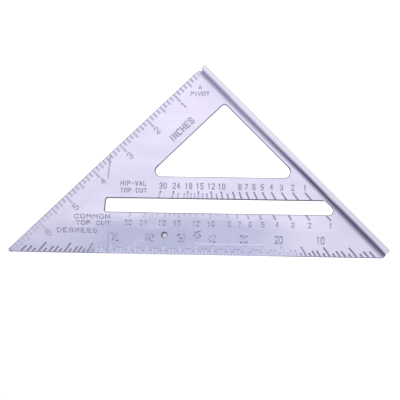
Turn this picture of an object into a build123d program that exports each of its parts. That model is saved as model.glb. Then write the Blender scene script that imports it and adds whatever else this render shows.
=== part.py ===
from build123d import *
from collections import namedtuple
import math
import os

# A seven inch rafter square, in millimetres: a right-angled blade with a T-shaped fence.
# It stands on its fence. +Z runs up the ruler edge, the fence lies along X with the pivot
# corner at its +X end, and the marked face of the blade looks along -Y.
# Two flat coordinates place everything on the blade:
#   t  distance from the ruler edge, along the fence (towards -X)
#   s  distance from the fence's inner face, along the ruler edge (towards +Z)

INCH = 25.4
ROOT2 = math.sqrt(2)

# Overall height, centreline width and stroke width of a character, and the step to the next
Lettering = namedtuple("Lettering", "height width step stroke")

# Blade
LEG = 182.0               # both legs, measured from the corner at the fence's inner face
BLADE_THICKNESS = 3.0
PIVOT_CORNER_RADIUS = 2.4
TIP_RADIUS = 1.2
HEEL_RADIUS = 0.5
EDGE_BEVEL = 0.45
BEVEL_CLEARANCE = 0.1     # edges nearer the fence than this are left sharp
HYPOTENUSE_DEPTH = LEG / ROOT2

# Fence
FENCE_LENGTH = 7 * INCH
FENCE_WIDTH = 22.0
FENCE_THICKNESS = 3.0
FENCE_SETBACK = 1.8       # the fence starts this far in from the ruler edge
FENCE_END_RADIUS = 1.4
FENCE_EDGE_ROUND = 0.6
FENCE_END = FENCE_SETBACK + FENCE_LENGTH

# Root fillet where the blade swells to meet the fence
FLARE_RADIUS = 3.8
FLARE_REACH = 3.5         # how far up the blade the fillet runs
FLARE_ENDS = (2.6, 179.0)  # t of its two ends

# Triangular hand opening
WINDOW_LEFT = 29.4        # t of the side parallel to the ruler edge
WINDOW_RIGHT = 4.4        # s of the side parallel to the fence
WINDOW_DEPTH = 75.5       # from the corner to the side parallel to the hypotenuse
WINDOW_APEX_RADIUS = 2.4
WINDOW_LEFT_RADIUS = 3.8
WINDOW_RIGHT_RADIUS = 4.4

# Long slot between the two rafter scales
SLOT_TOP = 90.75          # depths from the corner, square to the hypotenuse
SLOT_BOTTOM = 100.4
SLOT_LEFT = -62.1         # along the hypotenuse, from the line square to its middle
SLOT_LEFT_SLANT = 0.35
SLOT_RIGHT = 2.7          # s of the end parallel to the fence
SLOT_CORNER_RADIUS = 1.6
SLOT_SHOULDER_RADIUS = 1.2
SLOT_NOSE_RADIUS = 3.2

# Round blind recess in the strip below the slot
RECESS_DIAMETER = 4.6
RECESS_SINK = 1.0
RECESS_ALONG = -21.0
RECESS_DEPTH = 115.75

# Coined lines and figures
MARK_RUN_OUT = 1.5        # edge marks run out over the edge
GROOVE_DEPTH = 0.35
GROOVE_SLOPE = 1.0         # how far the walls lean in over their depth
FIGURE_DEPTH = 0.30
FIGURE_FILM = 0.10        # dark residue that lies in the bottom of figures and words

INCH_GROOVE = 1.4
INCH_FIRST, INCH_LAST = 1, 56          # in eighths
INCH_LENGTHS = {8: 7.4, 4: 5.4, 2: 4.3, 1: 3.8}
INCH_FIGURE = Lettering(height=5.0, width=2.5, step=4.1, stroke=0.8)
INCH_FIGURE_T = 10.9

DEGREE_PIVOT = (1.0, 0.0)              # (t, s) where the degree rays start
DEGREE_GROOVE = 1.15
DEGREE_FIRST, DEGREE_LAST = 1, 88
DEGREE_LONG, DEGREE_MIDDLE, DEGREE_SHORT = 6.5, 4.1, 2.5
DEGREE_45_LONG = 9.9
DEGREE_FIGURE = Lettering(height=5.4, width=1.95, step=2.85, stroke=0.8)
DEGREE_FIGURE_FOOT = 9.5               # a figure stands over its ray at this rise,
DEGREE_FIGURE_RISE = 11.0              # and its middle is this far above the hypotenuse
DEGREE_45_RISE = 13.4
DEGREE_FIGURES = (10, 20, 30, 40, 45, 50, 60, 70)

HIP_RUN = 12 * ROOT2                   # hip and valley rafters run the diagonal of a foot
HIP_PIVOT = (0.3, 2.1)
HIP_RISES = tuple(range(1, 21)) + (22, 24, 30)
# Figure to the rise whose ray it stands over: 10 to 18 stand one ray further on.
HIP_FIGURES = {1: 1, 2: 2, 3: 3, 4: 4, 5: 5, 6: 6, 7: 7, 8: 8, 10: 11, 12: 13, 15: 16,
               18: 19, 24: 24, 30: 30}
HIP_LONG_EXTRA = (9,)                  # a long mark with no figure
HIP_LONG, HIP_SHORT = 5.3, 3.8
HIP_GROOVE = 1.05
HIP_FIGURE = Lettering(height=4.4, width=1.65, step=2.85, stroke=0.7)
# Some figures stand a little off their rays, along the hypotenuse.
HIP_FIGURE_SHIFTS = {30: 1.6, 24: 1.8, 18: 0.4, 15: 0.9, 10: 0.3, 8: 0.5}
HIP_FIGURE_RISE = 8.7                  # above the slot

COMMON_RUN = 12
COMMON_PIVOT = (1.2, 1.2)
COMMON_SPREAD = 1.045                  # laid out for a line a little below the slot
COMMON_RISES = tuple(range(1, 19)) + (20, 24, 30)
COMMON_FIGURES = {n: n for n in (1, 2, 3, 4, 5, 6, 7, 8, 10, 12, 15, 18, 24, 30)}
COMMON_LONG, COMMON_SHORT = 3.8, 2.2
COMMON_GROOVE = 1.05
COMMON_FIGURE = Lettering(height=3.9, width=1.7, step=2.85, stroke=0.65)
COMMON_FIGURE_SHIFTS = {18: -1.5, 15: -0.8, 10: 0.4, 8: 1.1, 7: 1.3, 6: 0.8, 5: 1.1, 4: 1.1, 3: 1.0}
COMMON_FIGURE_DROP = 7.2               # below the slot

# Long thin lines that only guide the eye
SCRIBE_WIDTH = 0.9
SCRIBE_SINK = 0.2
# Above the slot's end a line leans from (along, depth) to (along, depth); below the slot it is
# square to the hypotenuse.
SCRIBE_UPPER = ((-59.8, 60.8), (-60.8, 77.6))
SCRIBE_LOWER_ALONG = -59.1
SCRIBE_LOWER_DEPTH = 113.0
RULE_LINE_DEPTH = 121.3
RULE_LINE_ENDS = (1.5, 49.0)
RULE_LINE_WIDTH = 1.0
RULE_LINE_SINK = 0.15

# Words: text, place along the hypotenuse, depth, and lettering
HIP_WORDS = (
    ("HIP-VAL", -43.2, 80.7, Lettering(height=3.5, width=1.7, step=2.75, stroke=0.65)),
    ("TOP CUT", -43.0, 85.5, Lettering(height=3.3, width=1.7, step=2.65, stroke=0.65)),
)
COMMON_WORDS = (
    ("COMMON", -70.6, 103.8, Lettering(height=3.4, width=2.7, step=4.25, stroke=0.75)),
    ("TOP CUT", -69.7, 108.2, Lettering(height=3.2, width=2.3, step=3.5, stroke=0.7)),
)
DEGREE_WORDS = (
    ("DEGREES", -80.5, 113.5, Lettering(height=3.4, width=2.5, step=4.1, stroke=0.7)),
)
PIVOT_WORDS = (("PIVOT", 0.8, 17.5, Lettering(height=3.2, width=2.1, step=2.9, stroke=0.65)),)
POINTER = ("^", 0.7, 12.6, Lettering(height=3.0, width=1.9, step=0, stroke=0.6))
UNIT_WORD = "INCHES"                   # reads along the ruler edge
UNIT_PLACE = (22.3, 38.1)              # (t, s)
UNIT_LETTERING = Lettering(height=5.2, width=2.3, step=3.75, stroke=1.05)

# Where the flat blade coordinates lie in space
RULER_X = FENCE_END / 2
FRONT_Y = -BLADE_THICKNESS / 2
ALONG_HYPOTENUSE = (-1, 0, -1)         # reading direction of marks beside the hypotenuse
ALONG_RULER = (0, 0, -1)               # reading direction of marks beside the ruler edge

# Plain stroke figures on a grid 4 wide and 6 high; each entry is a list of strokes.
BOWL = [(0, 3), (3, 3), (4, 4), (4, 5), (3, 6), (0, 6)]
RING = [(1, 0), (3, 0), (4, 1), (4, 5), (3, 6), (1, 6), (0, 5), (0, 1), (1, 0)]
OPEN_RING = [(4, 5), (3, 6), (1, 6), (0, 5), (0, 1), (1, 0), (3, 0), (4, 1)]
GLYPHS = {
    "0": [RING],
    "1": [[(1, 5), (2, 6), (2, 0)]],
    "2": [[(0, 5), (1, 6), (3, 6), (4, 5), (4, 4), (0, 0), (4, 0)]],
    "3": [[(0, 5), (1, 6), (3, 6), (4, 5), (4, 4), (3, 3), (4, 2), (4, 1), (3, 0), (1, 0), (0, 1)],
          [(1.5, 3), (3, 3)]],
    "4": [[(3, 0), (3, 6), (0, 2), (4, 2)]],
    "5": [[(4, 6), (0, 6), (0, 3.4), (3, 3.4), (4, 2.4), (4, 1), (3, 0), (1, 0), (0, 1)]],
    "6": [[(4, 5), (3, 6), (1, 6), (0, 5), (0, 1), (1, 0), (3, 0), (4, 1), (4, 2.4), (3, 3.4), (0, 3.4)]],
    "7": [[(0, 6), (4, 6), (1.5, 0)]],
    "8": [[(1, 3), (0, 2), (0, 1), (1, 0), (3, 0), (4, 1), (4, 2), (3, 3), (1, 3)],
          [(1, 3), (0, 4), (0, 5), (1, 6), (3, 6), (4, 5), (4, 4), (3, 3)]],
    "A": [[(0, 0), (2, 6), (4, 0)], [(0.7, 2), (3.3, 2)]],
    "C": [OPEN_RING],
    "D": [[(0, 0), (0, 6), (3, 6), (4, 5), (4, 1), (3, 0), (0, 0)]],
    "E": [[(4, 0), (0, 0), (0, 6), (4, 6)], [(0, 3), (3, 3)]],
    "G": [OPEN_RING + [(4, 3), (2.4, 3)]],
    "H": [[(0, 0), (0, 6)], [(4, 0), (4, 6)], [(0, 3), (4, 3)]],
    "I": [[(2, 0), (2, 6)]],
    "L": [[(0, 6), (0, 0), (4, 0)]],
    "M": [[(0, 0), (0, 6), (2, 3), (4, 6), (4, 0)]],
    "N": [[(0, 0), (0, 6), (4, 0), (4, 6)]],
    "O": [RING],
    "P": [[(0, 0), (0, 6)], BOWL],
    "R": [[(0, 0), (0, 6)], BOWL, [(2, 3), (4, 0)]],
    "S": [[(4, 5), (3, 6), (1, 6), (0, 5), (0, 4), (1, 3), (3, 3), (4, 2), (4, 1), (3, 0), (1, 0), (0, 1)]],
    "T": [[(0, 6), (4, 6)], [(2, 6), (2, 0)]],
    "U": [[(0, 6), (0, 1), (1, 0), (3, 0), (4, 1), (4, 6)]],
    "V": [[(0, 6), (2, 0), (4, 6)]],
    "-": [[(0.7, 3), (3.3, 3)]],
    "^": [[(0, 0), (4, 0), (2, 5), (0, 0)]],
}
GRID_WIDTH, GRID_HEIGHT = 4, 6
NARROW = 0.65             # an I takes this much of the room of another letter


def place(t, s, y=0.0):
    """The point in space that lies t from the ruler edge and s from the fence."""
    return Vector(RULER_X - t, y, FENCE_THICKNESS + s)


def diagonal(along, depth):
    """(t, s) of a point given along the hypotenuse and by its depth from the corner."""
    return (depth + along) / ROOT2, (depth - along) / ROOT2


def blade_plane(y=0.0):
    """The plane at y whose local x, y are t, s and whose normal is +Y."""
    return Plane(origin=place(0, 0, y), x_dir=(-1, 0, 0), z_dir=(0, 1, 0))


def face_plane(t, s, direction):
    """A plane on the marked face, facing the reader, with local x along direction."""
    return Plane(origin=place(t, s, FRONT_Y), x_dir=direction, z_dir=(0, -1, 0))


def rounded_outline(corners):
    """A face through corners (t, s, radius)."""
    points = [(t, s) for t, s, _ in corners]
    radii = [radius for _, _, radius in corners]
    return make_face(FilletPolyline(*points, radius=radii, close=True))


def window_outline():
    left_s = WINDOW_DEPTH * ROOT2 - WINDOW_LEFT
    right_t = WINDOW_DEPTH * ROOT2 - WINDOW_RIGHT
    return rounded_outline([
        (WINDOW_LEFT, WINDOW_RIGHT, WINDOW_APEX_RADIUS),
        (right_t, WINDOW_RIGHT, WINDOW_RIGHT_RADIUS),
        (WINDOW_LEFT, left_s, WINDOW_LEFT_RADIUS),
    ])


def slot_outline():
    top_left = diagonal(SLOT_LEFT + SLOT_LEFT_SLANT, SLOT_TOP)
    bottom_left = diagonal(SLOT_LEFT - SLOT_LEFT_SLANT, SLOT_BOTTOM)
    shoulder = (SLOT_TOP * ROOT2 - SLOT_RIGHT, SLOT_RIGHT)
    nose = (SLOT_BOTTOM * ROOT2 - SLOT_RIGHT, SLOT_RIGHT)
    return rounded_outline([
        (*top_left, SLOT_CORNER_RADIUS),
        (*shoulder, SLOT_SHOULDER_RADIUS),
        (*nose, SLOT_NOSE_RADIUS),
        (*bottom_left, SLOT_CORNER_RADIUS),
    ])


def flare():
    """The swelling of the blade along the fence, a concave fillet on both faces."""
    half = BLADE_THICKNESS / 2
    angle = math.asin(FLARE_REACH / FLARE_RADIUS)
    rise = FLARE_RADIUS * (1 - math.cos(angle))
    middle = (FLARE_REACH - FLARE_RADIUS * math.sin(angle / 2),
              half + FLARE_RADIUS * (1 - math.cos(angle / 2)))
    upper = ThreePointArc((0, half + rise), middle, (FLARE_REACH, half))
    lower = ThreePointArc((FLARE_REACH, -half), (middle[0], -middle[1]), (0, -half - rise))
    profile = make_face([
        upper,
        Line((FLARE_REACH, half), (FLARE_REACH, -half)),
        lower,
        Line((0, -half - rise), (0, half + rise)),
    ])
    start, end = FLARE_ENDS
    plane = Plane(origin=place(start, 0), x_dir=(0, 0, 1), z_dir=(-1, 0, 0))
    bar_body = extrude(plane * profile, amount=end - start)
    return bar_body - extrude(blade_plane() * slot_outline(), amount=FLARE_RADIUS * 2, both=True)


def plain_blade():
    """The blade before it is marked."""
    outline = rounded_outline([
        (0, 0, PIVOT_CORNER_RADIUS),
        (FENCE_END, 0, HEEL_RADIUS),
        (FENCE_END, LEG - FENCE_END, HEEL_RADIUS),
        (0, LEG, TIP_RADIUS),
    ])
    sheet = outline - window_outline() - slot_outline()
    body = extrude(blade_plane() * sheet, amount=BLADE_THICKNESS / 2, both=True)
    rims = [edge for edge in body.faces().filter_by(Axis.Y).edges()
            if edge.center().Z > FENCE_THICKNESS + BEVEL_CLEARANCE]
    recess = Pos(*diagonal(RECESS_ALONG, RECESS_DEPTH)) * Circle(RECESS_DIAMETER / 2)
    return chamfer(rims, EDGE_BEVEL) + flare() - extrude(blade_plane(FRONT_Y) * recess, amount=RECESS_SINK)


def groove(t, s, toward, length, width, run_out=MARK_RUN_OUT, depth=GROOVE_DEPTH):
    """The space of a groove from (t, s), running length in the direction toward.

    Its walls and ends slope inwards to its floor, as a chisel-nosed punch leaves them.
    """
    size = math.hypot(*toward)
    dt, ds = toward[0] / size, toward[1] / size
    reach = (length - run_out) / 2
    inset = depth * GROOVE_SLOPE
    along = Vector(-dt, 0, ds)
    plane = Plane(origin=place(t + dt * reach, s + ds * reach, FRONT_Y), x_dir=along,
                  z_dir=along.cross(Vector(0, 1, 0)))
    total = length + run_out
    return plane * Wedge(total, depth, width, inset, inset, total - inset, width - inset,
                         align=(Align.CENTER, Align.MIN, Align.CENTER))


def inch_grooves():
    grooves = []
    for eighth in range(INCH_FIRST, INCH_LAST + 1):
        length = next(INCH_LENGTHS[step] for step in (8, 4, 2, 1) if eighth % step == 0)
        grooves.append(groove(0, eighth * INCH / 8, (1, 0), length, INCH_GROOVE))
    return grooves


def ray_point(pivot, angle, depth):
    """(t, s) where the ray from pivot, at angle to the fence, reaches a depth."""
    slope = (math.cos(angle) + math.sin(angle)) / ROOT2
    distance = (depth - (pivot[0] + pivot[1]) / ROOT2) / slope
    return pivot[0] + math.cos(angle) * distance, pivot[1] + math.sin(angle) * distance


def ray_mark(pivot, angle, edge_depth, rise, width):
    """A groove on a ray, from edge_depth towards the pivot; rise is square to the hypotenuse."""
    toward = (math.cos(angle), math.sin(angle))
    slope = (toward[0] + toward[1]) / ROOT2
    back = (-toward[0], -toward[1])
    return groove(*ray_point(pivot, angle, edge_depth), back, rise / slope, width)


def degree_grooves():
    grooves = []
    for degree in range(DEGREE_FIRST, DEGREE_LAST + 1):
        rise = {0: DEGREE_LONG, 1: DEGREE_SHORT, 4: DEGREE_SHORT}.get(degree % 5, DEGREE_MIDDLE)
        if degree == 45:
            rise = DEGREE_45_LONG
        grooves.append(ray_mark(DEGREE_PIVOT, math.radians(degree), HYPOTENUSE_DEPTH, rise, DEGREE_GROOVE))
    return grooves


def hip_grooves():
    tall = set(HIP_FIGURES.values()) | set(HIP_LONG_EXTRA)
    grooves = []
    for rise_in in HIP_RISES:
        rise = HIP_LONG if rise_in in tall else HIP_SHORT
        grooves.append(ray_mark(HIP_PIVOT, math.atan(rise_in / HIP_RUN), SLOT_TOP, rise, HIP_GROOVE))
    return grooves


def common_edge(rise_in):
    """(t, s) where the common rafter mark for a rise meets the slot."""
    pivot_along = (COMMON_PIVOT[0] - COMMON_PIVOT[1]) / ROOT2
    pivot_depth = (COMMON_PIVOT[0] + COMMON_PIVOT[1]) / ROOT2
    turn = math.pi / 4 - math.atan(rise_in / COMMON_RUN)
    return diagonal(pivot_along + COMMON_SPREAD * (SLOT_BOTTOM - pivot_depth) * math.tan(turn), SLOT_BOTTOM)


def common_grooves():
    grooves = []
    for rise_in in COMMON_RISES:
        t, s = common_edge(rise_in)
        toward = (t - COMMON_PIVOT[0], s - COMMON_PIVOT[1])
        slope = (toward[0] + toward[1]) / ROOT2 / math.hypot(*toward)
        rise = COMMON_LONG if rise_in in COMMON_FIGURES else COMMON_SHORT
        grooves.append(groove(t, s, toward, rise / slope, COMMON_GROOVE))
    return grooves


def scribe_grooves():
    """The thin lines: two stretches square to the hypotenuse and one parallel to it."""
    upper_start, upper_end = diagonal(*SCRIBE_UPPER[0]), diagonal(*SCRIBE_UPPER[1])
    upper_run = (upper_end[0] - upper_start[0], upper_end[1] - upper_start[1])
    rule_start, rule_end = RULE_LINE_ENDS
    return [
        groove(*upper_start, upper_run, math.hypot(*upper_run), SCRIBE_WIDTH, 0, SCRIBE_SINK),
        groove(*diagonal(SCRIBE_LOWER_ALONG, HYPOTENUSE_DEPTH), (-1, -1),
               HYPOTENUSE_DEPTH - SCRIBE_LOWER_DEPTH, SCRIBE_WIDTH, MARK_RUN_OUT, SCRIBE_SINK),
        groove(*diagonal(rule_start, RULE_LINE_DEPTH), (1, -1), rule_end - rule_start,
               RULE_LINE_WIDTH, 0, RULE_LINE_SINK),
    ]


def bar(start, end, width):
    """A round-ended stroke between two points of a figure."""
    run = Vector(*end) - Vector(*start)
    middle = (Vector(*start) + Vector(*end)) / 2
    turn = math.degrees(math.atan2(run.Y, run.X))
    return Pos(middle.X, middle.Y) * Rot(0, 0, turn) * SlotCenterToCenter(run.length, width)


def glyph(character, lettering):
    """One figure or letter, centred on the origin."""
    scale_x = lettering.width / GRID_WIDTH
    scale_y = (lettering.height - lettering.stroke) / GRID_HEIGHT
    bars = []
    for stroke in GLYPHS[character]:
        points = [((x - GRID_WIDTH / 2) * scale_x, (y - GRID_HEIGHT / 2) * scale_y) for x, y in stroke]
        bars += [bar(start, end, lettering.stroke) for start, end in zip(points, points[1:])]
    return bars[0].fuse(*bars[1:])


def text(characters, t, s, direction, lettering):
    """The faces of a row of characters centred on (t, s), on the marked face."""
    plane = face_plane(t, s, direction)
    rooms = [lettering.step * (NARROW if character == "I" else 1) for character in characters]
    starts = [sum(rooms[:i]) - sum(rooms) / 2 for i in range(len(characters))]
    return [plane * (Pos(start + room / 2, 0) * glyph(character, lettering))
            for character, start, room in zip(characters, starts, rooms) if character != " "]


def inch_figures():
    faces = []
    for inch in range(1, 7):
        faces += text(str(inch), INCH_FIGURE_T, inch * INCH, ALONG_RULER, INCH_FIGURE)
    return faces


def along_of(t, s):
    return (t - s) / ROOT2


def degree_figures():
    faces = []
    for degree in DEGREE_FIGURES:
        rise = DEGREE_45_RISE if degree == 45 else DEGREE_FIGURE_RISE
        foot = ray_point(DEGREE_PIVOT, math.radians(degree), HYPOTENUSE_DEPTH - DEGREE_FIGURE_FOOT)
        t, s = diagonal(along_of(*foot), HYPOTENUSE_DEPTH - rise)
        faces += text(str(degree), t, s, ALONG_HYPOTENUSE, DEGREE_FIGURE)
    return faces


def hip_figures():
    faces = []
    for figure, rise_in in HIP_FIGURES.items():
        top = ray_point(HIP_PIVOT, math.atan(rise_in / HIP_RUN), SLOT_TOP - HIP_LONG)
        along = along_of(*top) + HIP_FIGURE_SHIFTS.get(figure, 0)
        t, s = diagonal(along, SLOT_TOP - HIP_FIGURE_RISE)
        faces += text(str(figure), t, s, ALONG_HYPOTENUSE, HIP_FIGURE)
    return faces


def common_figures():
    faces = []
    for figure, rise_in in COMMON_FIGURES.items():
        along = along_of(*common_edge(rise_in)) * (SLOT_BOTTOM + COMMON_LONG) / SLOT_BOTTOM
        along += COMMON_FIGURE_SHIFTS.get(figure, 0)
        t, s = diagonal(along, SLOT_BOTTOM + COMMON_FIGURE_DROP)
        faces += text(str(figure), t, s, ALONG_HYPOTENUSE, COMMON_FIGURE)
    return faces


def words(lines):
    faces = []
    for characters, along, depth, lettering in lines:
        faces += text(characters, *diagonal(along, depth), ALONG_HYPOTENUSE, lettering)
    return faces


def fence_bar():
    """The fence: a flat bar across the blade's short edge, round at its ends."""
    centre = place((FENCE_SETBACK + FENCE_END) / 2, -FENCE_THICKNESS / 2)
    bar_body = Pos(*centre) * Box(FENCE_LENGTH, FENCE_WIDTH, FENCE_THICKNESS)
    bar_body = fillet(bar_body.edges().filter_by(Axis.Y), FENCE_END_RADIUS)
    rims = bar_body.faces().filter_by(Axis.Y).edges()
    return fillet(rims, FENCE_EDGE_ROUND)


FIGURE_GROUPS = {
    "inch_figures": inch_figures(),
    "unit_word": text(UNIT_WORD, *UNIT_PLACE, ALONG_RULER, UNIT_LETTERING),
    "degree_figures": degree_figures(),
    "degree_word": words(DEGREE_WORDS),
    "hip_valley_figures": hip_figures(),
    "hip_valley_words": words(HIP_WORDS),
    "common_rafter_figures": common_figures(),
    "common_rafter_words": words(COMMON_WORDS),
    "pivot_word": words(PIVOT_WORDS),
    "pivot_pointer": words([POINTER]),
}


def marked_blade():
    """The blade with every groove and figure sunk into its front face."""
    cuts = inch_grooves() + degree_grooves() + hip_grooves() + common_grooves() + scribe_grooves()
    for faces in FIGURE_GROUPS.values():
        cuts += [extrude(face, amount=-FIGURE_DEPTH) for face in faces]
    return plain_blade().cut(*cuts)


def films(faces):
    """The dark film in the bottom of each sunk figure."""
    floor = Pos(0, FIGURE_DEPTH, 0)
    return Compound([floor * extrude(face, amount=FIGURE_FILM) for face in faces])


os.makedirs("parts", exist_ok=True)
export_step(marked_blade(), "parts/blade.step")
export_step(fence_bar(), "parts/fence.step")
for name, faces in FIGURE_GROUPS.items():
    export_step(films(faces), f"parts/{name}.step")
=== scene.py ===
import math

import bpy
from mathutils import Matrix, Vector


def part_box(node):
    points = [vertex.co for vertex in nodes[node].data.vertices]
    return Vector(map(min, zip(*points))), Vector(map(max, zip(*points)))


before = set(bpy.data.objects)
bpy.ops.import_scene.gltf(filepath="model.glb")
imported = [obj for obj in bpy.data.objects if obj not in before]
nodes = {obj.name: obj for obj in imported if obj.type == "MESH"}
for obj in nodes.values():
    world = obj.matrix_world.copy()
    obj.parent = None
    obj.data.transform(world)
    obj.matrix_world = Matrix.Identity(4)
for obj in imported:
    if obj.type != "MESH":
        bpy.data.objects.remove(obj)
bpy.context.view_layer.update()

# Places are in metres. The corner is where the ruler edge meets the fence's inner face; depth is
# measured from it square to the hypotenuse, and along runs beside the hypotenuse, positive
# towards the heel.
_, blade_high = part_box("blade")
fence_low, fence_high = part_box("fence")
CORNER = Vector((blade_high.x, 0.0, fence_high.z))
DEPTH_AXIS = Vector((-1, 0, 1)) / math.sqrt(2)
ALONG_AXIS = Vector((-1, 0, -1)) / math.sqrt(2)
FACE_Y = -0.0015              # the marked face of the blade
HYPOTENUSE_DEPTH = 0.1287     # from the corner to the long edge
RECESS_ALONG, RECESS_DEPTH, RECESS_RADIUS = -0.021, 0.11575, 0.0023
RECESS_SHADE_SHIFT = 0.00025  # how far its painted shadow sits off its centre

# Depths where each row of marks, figures or openings starts and ends.
HIP_ROW = (0.083, 0.0897)
SLOT_ROW = (0.0902, 0.1009)
COMMON_ROW = (0.1012, 0.106)
COMMON_FIGURE_ROW = (0.1056, 0.1096)
DEGREE_FIGURE_ROW = (0.1150, 0.1205)

SURROUND_LEVEL = 1.25         # brightness of the studio surround that the metal mirrors
GRAIN_SCALE = 2600.0          # noise cells per metre in the grain of the casting
FLOOR_GAP = 0.0001            # keeps the floor just clear of the fence's underside


class Graph:
    """Adds nodes to one node tree and joins them."""

    def __init__(self, tree):
        self.tree = tree
        tree.nodes.clear()

    def node(self, kind, inputs=None, **settings):
        made = self.tree.nodes.new(kind)
        for name, value in settings.items():
            setattr(made, name, value)
        for key, value in (inputs or {}).items():
            self.feed(made.inputs[key], value)
        return made

    def feed(self, socket, value):
        if isinstance(value, bpy.types.NodeSocket):
            self.tree.links.new(value, socket)
        elif value is not None:
            socket.default_value = value

    def math(self, operation, first, second=None):
        return self.node("ShaderNodeMath", {0: first, 1: second}, operation=operation).outputs[0]

    def vector(self, operation, first, second):
        made = self.node("ShaderNodeVectorMath", {0: first, 1: second}, operation=operation)
        return made.outputs["Value" if operation == "DOT_PRODUCT" else "Vector"]

    def ramp(self, value, low, high, out_low=0.0, out_high=1.0):
        """Goes smoothly from out_low at low to out_high at high."""
        made = self.node("ShaderNodeMapRange", interpolation_type="SMOOTHSTEP")
        for key, number in zip(("Value", "From Min", "From Max", "To Min", "To Max"),
                               (value, low, high, out_low, out_high)):
            self.feed(made.inputs[key], number)
        return made.outputs["Result"]

    def band(self, value, low, high, soft):
        """One from low to high, fading to zero over soft beyond either end."""
        return self.both(self.ramp(value, low - soft, low), self.ramp(value, high + soft, high))

    def both(self, first, *others):
        """The product of two or more masks."""
        for other in others:
            first = self.math("MULTIPLY", first, other)
        return first

    def invert(self, mask):
        return self.math("SUBTRACT", 1.0, mask)

    def noise(self, vector, scale, detail=3.0, roughness=0.5, distortion=0.0):
        made = self.node("ShaderNodeTexNoise", {
            "Vector": vector, "Scale": scale, "Detail": detail, "Roughness": roughness,
            "Distortion": distortion})
        return made.outputs["Fac"]

    def stretch(self, vector, scale):
        return self.node("ShaderNodeMapping", {"Vector": vector, "Scale": scale},
                         vector_type="POINT").outputs["Vector"]

    def mix(self, factor, first, second, blend="MIX"):
        made = self.node("ShaderNodeMix", data_type="RGBA", blend_type=blend)
        sockets = {s.identifier: s for s in made.inputs}
        for key, value in (("Factor_Float", factor), ("A_Color", first), ("B_Color", second)):
            self.feed(sockets[key], value)
        return next(s for s in made.outputs if s.identifier == "Result_Color")

    def bump(self, height, distance, strength, normal=None):
        made = self.node("ShaderNodeBump", {
            "Height": height, "Distance": distance, "Strength": strength, "Normal": normal})
        return made.outputs["Normal"]


def colour(red, green, blue, light=SURROUND_LEVEL):
    """The linear base colour that shows these display values of 0 to 255 under the given light."""
    def linear(value):
        value /= 255
        return (value / 12.92 if value <= 0.04045 else ((value + 0.055) / 1.055) ** 2.4) / light
    return (linear(red), linear(green), linear(blue), 1.0)


def new_material(name, metallic):
    material = bpy.data.materials.new(name)
    material.use_nodes = True
    graph = Graph(material.node_tree)
    shader = graph.node("ShaderNodeBsdfPrincipled", {"Metallic": metallic})
    output = graph.node("ShaderNodeOutputMaterial")
    graph.tree.links.new(shader.outputs["BSDF"], output.inputs["Surface"])
    return material, graph, shader


class BladeFields:
    """Sockets that say where on the blade a point lies and which way its surface faces."""

    def __init__(self, graph):
        coordinates = graph.node("ShaderNodeTexCoord")
        self.position = coordinates.outputs["Object"]
        normal = coordinates.outputs["Normal"]
        offset = graph.vector("SUBTRACT", self.position, tuple(CORNER))
        split = graph.node("ShaderNodeSeparateXYZ", {0: offset})
        self.from_ruler = graph.math("MULTIPLY", split.outputs["X"], -1.0)
        self.from_fence = split.outputs["Z"]
        self.height = split.outputs["Y"]
        self.depth = graph.vector("DOT_PRODUCT", offset, tuple(DEPTH_AXIS))
        self.along = graph.vector("DOT_PRODUCT", offset, tuple(ALONG_AXIS))
        self.flow = graph.node("ShaderNodeCombineXYZ", {
            "X": self.along, "Y": self.depth, "Z": self.height}).outputs[0]
        facing = graph.math("ABSOLUTE", graph.node("ShaderNodeSeparateXYZ", {0: normal}).outputs["Y"])
        self.steep = graph.ramp(facing, 0.985, 0.80)
        self.outward = graph.vector("DOT_PRODUCT", normal, tuple(DEPTH_AXIS))
        self.heelward = graph.vector("DOT_PRODUCT", normal, tuple(ALONG_AXIS))


def blade_strip(graph, f, clouds):
    """One in the strip below the slot, with a cloudy upper border that is softer towards the tip."""
    drift = graph.math("MULTIPLY", graph.math("SUBTRACT", clouds, 0.5), 0.03)
    depth = graph.math("ADD", f.depth, drift)
    return graph.mix(graph.ramp(f.along, -0.055, -0.075),
                     graph.ramp(depth, 0.097, 0.111), graph.ramp(depth, 0.094, 0.124))


def blade_skin(graph, f, clouds, strip):
    """Tint of the flat faces: pale above the slot, with painted highlight towards the pivot and beside the
    fence; in the strip below it the metal's own flow marks under a bluer, darker tint of painted reflection.
    """
    # The paler tints towards the pivot and beside the fence are painted highlight.
    satin, highlight_by_pivot = colour(237, 232, 254), colour(249, 243, 264)
    highlight_by_fence = colour(248, 244, 266)
    haze = colour(251, 250, 251, 1.0)
    # The bluer, darker tints of the strip, paler towards both ends, are painted reflection.
    blue, pale_blue = colour(188, 190, 220), colour(197, 198, 227)
    blue_by_tip, blue_by_heel = colour(208, 206, 232), colour(223, 219, 242)
    dark_seam, pale_seam = colour(182, 183, 211), colour(214, 213, 238)

    patches = graph.ramp(clouds, 0.36, 0.64)
    upper = graph.mix(graph.ramp(f.depth, 0.085, 0.02), satin, highlight_by_pivot)
    upper = graph.mix(patches, upper, graph.mix(1.0, upper, haze, "MULTIPLY"))
    lower = graph.mix(patches, blue, pale_blue)
    lower = graph.mix(graph.ramp(f.along, -0.06, -0.085), lower, blue_by_tip)
    lower = graph.mix(graph.ramp(f.along, 0.025, 0.08), lower, blue_by_heel)

    seams = graph.noise(graph.stretch(f.flow, (38, 105, 38)), 1.0, 3.0, 0.55, 1.6)
    off_seam = graph.math("ABSOLUTE", graph.math("SUBTRACT", seams, 0.5))
    seam = graph.both(graph.ramp(off_seam, 0.016, 0.0, 0.0, 0.7), strip,
                      graph.ramp(f.along, 0.07, 0.03, 0.15, 1.0))
    lower = graph.mix(seam, lower, graph.mix(graph.ramp(clouds, 0.45, 0.55), dark_seam, pale_seam))

    # Painted highlight on the face beside the fence.
    by_fence = graph.both(graph.ramp(f.from_fence, 0.009, 0.003), graph.ramp(f.from_ruler, 0.13, 0.10))
    return graph.mix(by_fence, graph.mix(strip, upper, lower), highlight_by_fence)


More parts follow.
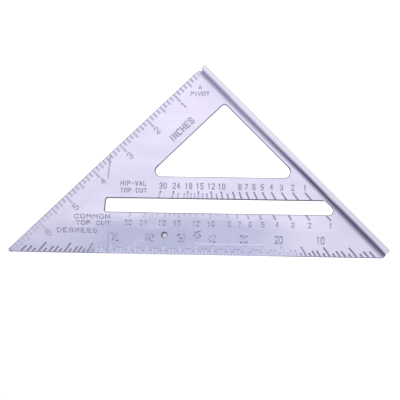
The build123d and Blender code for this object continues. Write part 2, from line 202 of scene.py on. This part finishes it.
class BladeRegions:
    """Masks that tell the openings and the groups of sunk lines apart by where they lie."""

    def __init__(self, graph, f):
        self.by_ruler = graph.math("MAXIMUM", graph.ramp(f.from_ruler, 0.0065, 0.0058), graph.both(
            graph.ramp(f.from_ruler, 0.012, 0.009), graph.ramp(f.depth, 0.1225, 0.1215)))
        off_ruler = graph.invert(self.by_ruler)
        self.by_tip = graph.ramp(f.along, -0.094, -0.104)
        self.middle = graph.both(graph.ramp(f.along, -0.076, -0.064), graph.ramp(f.along, 0.079, 0.064),
                                 graph.ramp(f.depth, 0.097, 0.1))
        self.window = graph.both(graph.ramp(f.depth, 0.0785, 0.0775), off_ruler)
        self.slot = graph.both(graph.band(f.depth, *SLOT_ROW, 0.0002), off_ruler)
        self.opening = graph.math("MAXIMUM", self.window, self.slot)
        self.hip = graph.both(graph.band(f.depth, *HIP_ROW, 0.0005), off_ruler)
        self.common = graph.both(graph.band(f.depth, *COMMON_ROW, 0.0003), off_ruler)
        self.hypotenuse = graph.ramp(f.depth, HYPOTENUSE_DEPTH - 0.0006, HYPOTENUSE_DEPTH - 0.0003)
        self.front = graph.ramp(f.height, -0.0008, -0.0010)
        self.ruler_rim = graph.both(graph.ramp(f.from_ruler, 0.0006, 0.00045), self.front)
        self.tip_rim = graph.both(graph.ramp(f.along, -0.1225, -0.1255), self.front)
        self.slot_end = graph.both(self.slot, graph.ramp(f.from_fence, 0.0018, 0.0022))


def row_tints(graph, f):
    """Painted shade in the hip-valley marks and the common rafter marks: darker where the hip-valley marks
    lie further from the hypotenuse, and duller towards the heel.
    """
    hip = graph.mix(graph.ramp(f.depth, 0.0862, 0.0882), colour(168, 165, 186), colour(230, 226, 248))
    hip = graph.mix(graph.ramp(f.along, -0.01, 0.03), hip, colour(184, 180, 202))
    common = graph.mix(graph.ramp(f.along, 0.02, 0.06), colour(222, 220, 243), colour(184, 181, 204))
    return hip, common


def groove_floors(graph, regions, hip_tint, common_tint):
    """Painted light and shade on the floors of the grooves: pale along the ruler and in the middle of the
    strip, duller elsewhere, with painted shade on the rim of the ruler edge.
    """
    tint = graph.mix(regions.middle, colour(164, 161, 188), colour(222, 222, 246))
    tint = graph.mix(regions.by_ruler, tint, graph.mix(
        regions.by_tip, colour(216, 212, 234), colour(236, 234, 258)))
    tint = graph.mix(regions.hip, tint, hip_tint)
    tint = graph.mix(regions.common, tint, common_tint)
    return graph.mix(regions.ruler_rim, tint, colour(176, 173, 194))


def groove_walls(graph, f, regions, hip_tint, common_tint):
    """Painted shade and painted highlight on the walls of grooves and bevels: dark where they look towards
    the hypotenuse, pale where they look back; plain metal tint on the back half.
    """
    lean = graph.math("SUBTRACT", f.outward, graph.math("MULTIPLY", regions.middle, 0.42))
    shaded = graph.math("MAXIMUM", graph.ramp(lean, -0.1, 0.25),
                        graph.both(graph.ramp(f.heelward, 0.2, 0.5), regions.opening))
    pale = graph.mix(regions.middle, colour(210, 208, 231), colour(230, 230, 254))
    pale = graph.mix(regions.opening, pale, colour(130, 127, 148))
    dark = graph.mix(graph.ramp(f.depth, 0.1045, 0.106), colour(108, 105, 124), colour(124, 122, 148))
    dark = graph.mix(regions.middle, dark, colour(86, 84, 106))
    # Painted shade round the window, darker nearer the hypotenuse.
    window_rim = graph.mix(graph.ramp(f.depth, 0.0655, 0.069), colour(160, 157, 178), colour(92, 89, 108))
    dark = graph.mix(regions.window, dark, window_rim)
    dark = graph.mix(regions.by_ruler, dark, graph.mix(
        regions.by_tip, colour(202, 198, 220), colour(150, 147, 176)))
    wall = graph.mix(shaded, pale, dark)

    shaded_hip = graph.mix(0.25, hip_tint, colour(120, 116, 138))
    wall = graph.mix(regions.hip, wall, graph.mix(shaded, hip_tint, shaded_hip))
    wall = graph.mix(regions.common, wall, common_tint)
    # Painted shade on the hypotenuse edge, paler in its middle.
    hypotenuse_tint = graph.mix(graph.band(f.along, -0.05, 0.045, 0.02),
                                colour(160, 158, 182), colour(203, 202, 224))
    wall = graph.mix(regions.hypotenuse, wall, hypotenuse_tint)
    wall = graph.mix(graph.ramp(f.height, 0.0002, 0.0009), wall, colour(188, 185, 206))
    # Painted shade on the front rims of the ruler edge and the tip.
    wall = graph.mix(regions.ruler_rim, wall, colour(112, 109, 130))
    return graph.mix(regions.tip_rim, wall, colour(100, 98, 118))


def thin_lines(graph, f):
    """Mask and tint of each long thin line: two scribe lines in painted shade, and the level one by the
    degree marks as a painted highlight.
    """
    upper_scribe = graph.both(graph.band(f.along, -0.0615, -0.0590, 0.0003),
                              graph.band(f.depth, 0.0605, 0.0785, 0.0005))
    lower_scribe = graph.both(graph.band(f.along, -0.0597, -0.0585, 0.0002),
                              graph.ramp(f.depth, 0.1120, 0.1125))
    level_line = graph.both(graph.band(f.depth, 0.1207, 0.1219, 0.0001),
                            graph.band(f.along, 0.0012, 0.0493, 0.0003))
    return ((upper_scribe, colour(194, 190, 212)), (lower_scribe, colour(196, 195, 220)),
            (level_line, colour(232, 232, 256)))


def shade_fillet(graph, f, skin):
    """The skin with painted shade on the root fillet along the fence, darker and wider towards the heel."""
    # Painted shade on the fillet, darker towards the heel.
    fillet_shade = graph.mix(graph.ramp(f.from_ruler, 0.01, 0.12), colour(180, 178, 200), colour(118, 117, 144))
    reach = graph.ramp(f.from_ruler, 0.11, 0.165, 0.0030, 0.0042)
    return graph.mix(graph.ramp(f.from_fence, reach, 0.0004), skin, fillet_shade)


def shade_recess(graph, f, body):
    """The blind round recess: a grey floor of painted shade, with a darker painted shadow round its rim, most
    on the side away from the pivot.
    """
    across = graph.math("SUBTRACT", f.along, RECESS_ALONG + RECESS_SHADE_SHIFT)
    down = graph.math("SUBTRACT", f.depth, RECESS_DEPTH + RECESS_SHADE_SHIFT)
    radius = graph.math("SQRT", graph.math("ADD", graph.math("MULTIPLY", across, across),
                                           graph.math("MULTIPLY", down, down)))
    recess = graph.both(graph.ramp(radius, RECESS_RADIUS + 0.0006, RECESS_RADIUS + 0.0004),
                        graph.band(f.height, FACE_Y + 0.0001, 0.0, 0.00005))
    return graph.mix(recess, body, graph.mix(graph.ramp(radius, 0.0013, 0.0021),
                                             colour(206, 200, 212), colour(100, 96, 110)))


def blade_surface(graph, shader, f, clouds, strip):
    """Fine grain all over; the strip is glossier and wavier, and the walls are duller."""
    satin = graph.ramp(clouds, 0.3, 0.7, 0.40, 0.48)
    gloss = graph.ramp(clouds, 0.3, 0.7, 0.28, 0.38)
    rough = graph.node("ShaderNodeMix", {"Factor": strip, "A": satin, "B": gloss}, data_type="FLOAT")
    graph.feed(shader.inputs["Roughness"], graph.math("MAXIMUM", rough.outputs["Result"],
                                                      graph.math("MULTIPLY", f.steep, 0.55)))
    swirl = graph.noise(graph.stretch(f.flow, (90, 260, 90)), 1.0, 4.0, 0.55, 1.2)
    wavy = graph.bump(swirl, 0.0001, graph.ramp(strip, 0, 1, 0.12, 0.4))
    grain = graph.noise(f.position, GRAIN_SCALE, 2.0, 0.6)
    graph.feed(shader.inputs["Normal"], graph.bump(grain, 0.00002, 0.35, wavy))


def cast_blade():
    material, graph, shader = new_material("cast_aluminium_blade", 1.0)
    f = BladeFields(graph)
    regions = BladeRegions(graph, f)
    clouds = graph.noise(graph.stretch(f.flow, (22, 70, 22)), 1.0, 4.0, 0.6, 0.5)
    strip = blade_strip(graph, f, clouds)
    skin = shade_fillet(graph, f, blade_skin(graph, f, clouds, strip))

    tints = row_tints(graph, f)
    floor_tint = groove_floors(graph, regions, *tints)
    wall = groove_walls(graph, f, regions, *tints)
    for mask, tint in thin_lines(graph, f):
        floor_tint = graph.mix(mask, floor_tint, tint)
        wall = graph.mix(graph.both(mask, regions.front), wall, tint)

    floor = graph.band(f.height, FACE_Y + 0.00025, -0.0009, 0.0002)
    body = graph.mix(f.steep, graph.mix(floor, skin, floor_tint), wall)
    beside_fence = graph.both(graph.ramp(f.from_fence, 0.0033, 0.0029), graph.invert(regions.slot_end))
    body = graph.mix(beside_fence, body, skin)
    graph.feed(shader.inputs["Base Color"], shade_recess(graph, f, body))
    blade_surface(graph, shader, f, clouds, strip)
    return material


def cast_fence():
    material, graph, shader = new_material("cast_aluminium_fence", 1.0)
    coordinates = graph.node("ShaderNodeTexCoord")
    position = coordinates.outputs["Object"]
    place = graph.node("ShaderNodeSeparateXYZ", {0: position}).outputs
    normal = graph.node("ShaderNodeSeparateXYZ", {0: coordinates.outputs["Normal"]}).outputs
    heelward = graph.ramp(place["X"], fence_high.x - 0.02, fence_low.x + 0.055)
    streaks = graph.noise(graph.stretch(position, (30, 400, 400)), 1.0, 4.0, 0.55)

    # The narrow long faces that look forwards and backwards, in random streaks of tone, with painted shade
    # greyer at the heel.
    skin = graph.mix(streaks, colour(238, 234, 255), colour(246, 243, 255))
    skin = graph.mix(graph.ramp(place["X"], 0.0, fence_low.x), skin, colour(222, 220, 238))

    # The inner face, in painted shade at the root of the blade and painted highlight out to the front, and
    # the outer face with its edges in painted shade.
    root = graph.mix(heelward, colour(240, 237, 262), colour(228, 226, 254))
    front = graph.mix(heelward, colour(256, 254, 270), colour(274, 272, 277))
    inner = graph.mix(graph.ramp(place["Y"], -0.0108, -0.0050), front, root)
    outer = graph.mix(heelward, colour(178, 175, 192), colour(188, 186, 202))
    steep = graph.ramp(graph.math("ABSOLUTE", normal["Y"]), 0.55, 0.25)
    tint = graph.mix(steep, skin, inner)
    tint = graph.mix(graph.ramp(normal["Z"], -0.25, -0.6), tint, outer)
    graph.feed(shader.inputs["Base Color"], tint)

    graph.feed(shader.inputs["Roughness"], graph.ramp(streaks, 0.3, 0.7, 0.36, 0.46))
    grain = graph.noise(position, GRAIN_SCALE, 2.0, 0.6)
    wavy = graph.bump(streaks, 0.0001, 0.2)
    graph.feed(shader.inputs["Normal"], graph.bump(grain, 0.00002, 0.3, wavy))
    return material


def figure_shading(name, dark, light, row=None, heel_light=None):
    """Painted shade and painted highlight in the bottom of the sunk figures: dark spots on a lighter tint.

    row gives the depths of a row's top and bottom; the spots then gather at both. heel_light is
    the light tint that takes over towards the heel.
    """
    material, graph, shader = new_material(name, 0.6)
    f = BladeFields(graph)
    spots = graph.noise(graph.stretch(f.flow, (700, 800, 300)), 1.0, 3.0, 0.6)
    thin = graph.ramp(spots, 0.40, 0.60)
    if row:
        top, bottom = row
        inside = graph.band(f.depth, top + 0.0014, bottom - 0.0014, 0.0007)
        thin = graph.ramp(graph.math("ADD", spots, graph.math("MULTIPLY", inside, 0.08)), 0.455, 0.63)
    if heel_light:
        heelward = graph.ramp(f.along, 0.02, 0.06)
        light = graph.mix(heelward, light, heel_light)
        dark = graph.mix(heelward, dark, colour(150, 147, 170))
    graph.feed(shader.inputs["Base Color"], graph.mix(thin, dark, light))
    graph.feed(shader.inputs["Roughness"], graph.ramp(spots, 0.3, 0.7, 0.5, 0.7))
    graph.feed(shader.inputs["Normal"], graph.bump(graph.noise(f.position, 3000.0, 2.0), 0.00003, 0.4))
    return material


def dress(name, material):
    for slot in nodes[name].material_slots:
        slot.material = material


dress("blade", cast_blade())
dress("fence", cast_fence())
# The sunk figures get painted shade and painted highlight: dark spots on a lighter tint.
crisp = figure_shading("figure_shading_crisp", colour(156, 152, 174), colour(194, 190, 212),
                heel_light=colour(222, 218, 240))
soft = figure_shading("figure_shading_soft", colour(176, 172, 194), colour(208, 204, 226))
letters = figure_shading("figure_shading_letters", colour(142, 138, 162), colour(206, 203, 228))
common = figure_shading("figure_shading_common", colour(134, 131, 156), colour(208, 207, 232),
                 COMMON_FIGURE_ROW, colour(200, 197, 220))
degrees = figure_shading("figure_shading_degrees", colour(132, 130, 156), colour(222, 221, 246),
                  DEGREE_FIGURE_ROW, colour(206, 203, 226))
FIGURE_SHADINGS = {
    "hip_valley_figures": crisp, "hip_valley_words": crisp,
    "inch_figures": soft, "unit_word": soft, "pivot_word": soft, "pivot_pointer": soft,
    "common_rafter_figures": common, "degree_figures": degrees,
    "common_rafter_words": letters, "degree_word": letters,
}
for name, material in FIGURE_SHADINGS.items():
    dress(name, material)


def lay_floor():
    """A plain pale floor that the square stands on."""
    reach = 4.0
    mesh = bpy.data.meshes.new("floor")
    mesh.from_pydata([(-reach, -reach, 0), (reach, -reach, 0), (reach, reach, 0), (-reach, reach, 0)],
                     [], [(0, 1, 2, 3)])
    floor = bpy.data.objects.new("floor", mesh)
    floor.location.z = -FLOOR_GAP
    bpy.context.scene.collection.objects.link(floor)
    material, graph, shader = new_material("floor_paper", 0.0)
    position = graph.node("ShaderNodeTexCoord").outputs["Object"]
    fibre = graph.noise(position, 40.0, 3.0)
    graph.feed(shader.inputs["Base Color"], graph.mix(fibre, (0.45, 0.45, 0.455, 1), (0.47, 0.47, 0.47, 1)))
    shader.inputs["Roughness"].default_value = 0.8
    shader.inputs["Emission Color"].default_value = (1, 1, 1, 1)
    shader.inputs["Emission Strength"].default_value = 0.72
    mesh.materials.append(material)


def light_world():
    """Soft even studio surround, dimmer and cooler high up in front; plain white as a backdrop."""
    world = bpy.data.worlds.new("studio")
    bpy.context.scene.world = world
    world.use_nodes = True
    graph = Graph(world.node_tree)
    direction = graph.node("ShaderNodeTexCoord").outputs["Generated"]
    split = graph.node("ShaderNodeSeparateXYZ", {0: direction})
    front = graph.ramp(split.outputs["Y"], 0.1, -0.6)
    up = graph.ramp(split.outputs["Z"], -0.1, 0.7)
    dim = graph.math("MULTIPLY", front, up)
    surround = graph.mix(dim, (1.0, 1.0, 1.0, 1), (0.45, 0.46, 0.50, 1))
    lamp = graph.node("ShaderNodeBackground", {"Color": surround, "Strength": SURROUND_LEVEL})
    paper = graph.node("ShaderNodeBackground", {"Color": (1, 1, 1, 1), "Strength": 1.05})
    seen = graph.node("ShaderNodeLightPath").outputs["Is Camera Ray"]
    mixed = graph.node("ShaderNodeMixShader", {0: seen, 1: lamp.outputs[0], 2: paper.outputs[0]})
    graph.node("ShaderNodeOutputWorld", {"Surface": mixed.outputs[0]})


def softbox(name, place, target, size, power, tint):
    lamp = bpy.data.lights.new(name, "AREA")
    lamp.shape = "RECTANGLE"
    lamp.size, lamp.size_y = size
    lamp.energy, lamp.color = power, tint
    holder = bpy.data.objects.new(name, lamp)
    holder.location = place
    holder.rotation_mode = "QUATERNION"
    holder.rotation_quaternion = (Vector(target) - Vector(place)).to_track_quat("-Z", "Y")
    bpy.context.scene.collection.objects.link(holder)


def aim_camera():
    """The hanging view: the hypotenuse level at the bottom of the picture, the fence at the right."""
    place = Vector((-0.077235, -0.681181, 0.113327))
    target = Vector((0.0234, -0.0015, 0.065952))
    roll = math.radians(-133.563)
    lens = bpy.data.cameras.new("camera")
    lens.sensor_width = 36.0
    lens.lens = 91.556
    lens.clip_start, lens.clip_end = 0.05, 20.0
    camera = bpy.data.objects.new("camera", lens)
    forward = (target - place).normalized()
    level = forward.cross(Vector((0, 0, 1))).normalized()
    upright = level.cross(forward)
    right = level * math.cos(roll) + upright * math.sin(roll)
    up = right.cross(forward)
    camera.matrix_world = Matrix((
        (right.x, up.x, -forward.x, place.x),
        (right.y, up.y, -forward.y, place.y),
        (right.z, up.z, -forward.z, place.z),
        (0, 0, 0, 1),
    ))
    bpy.context.scene.collection.objects.link(camera)
    bpy.context.scene.camera = camera


lay_floor()
light_world()
softbox("key", (-0.6, -1.2, 1.1), (0, 0, 0.08), (1.0, 1.0), 3.0, (1.0, 1.0, 1.0))
aim_camera()
bpy.context.scene.view_settings.view_transform = "Standard"
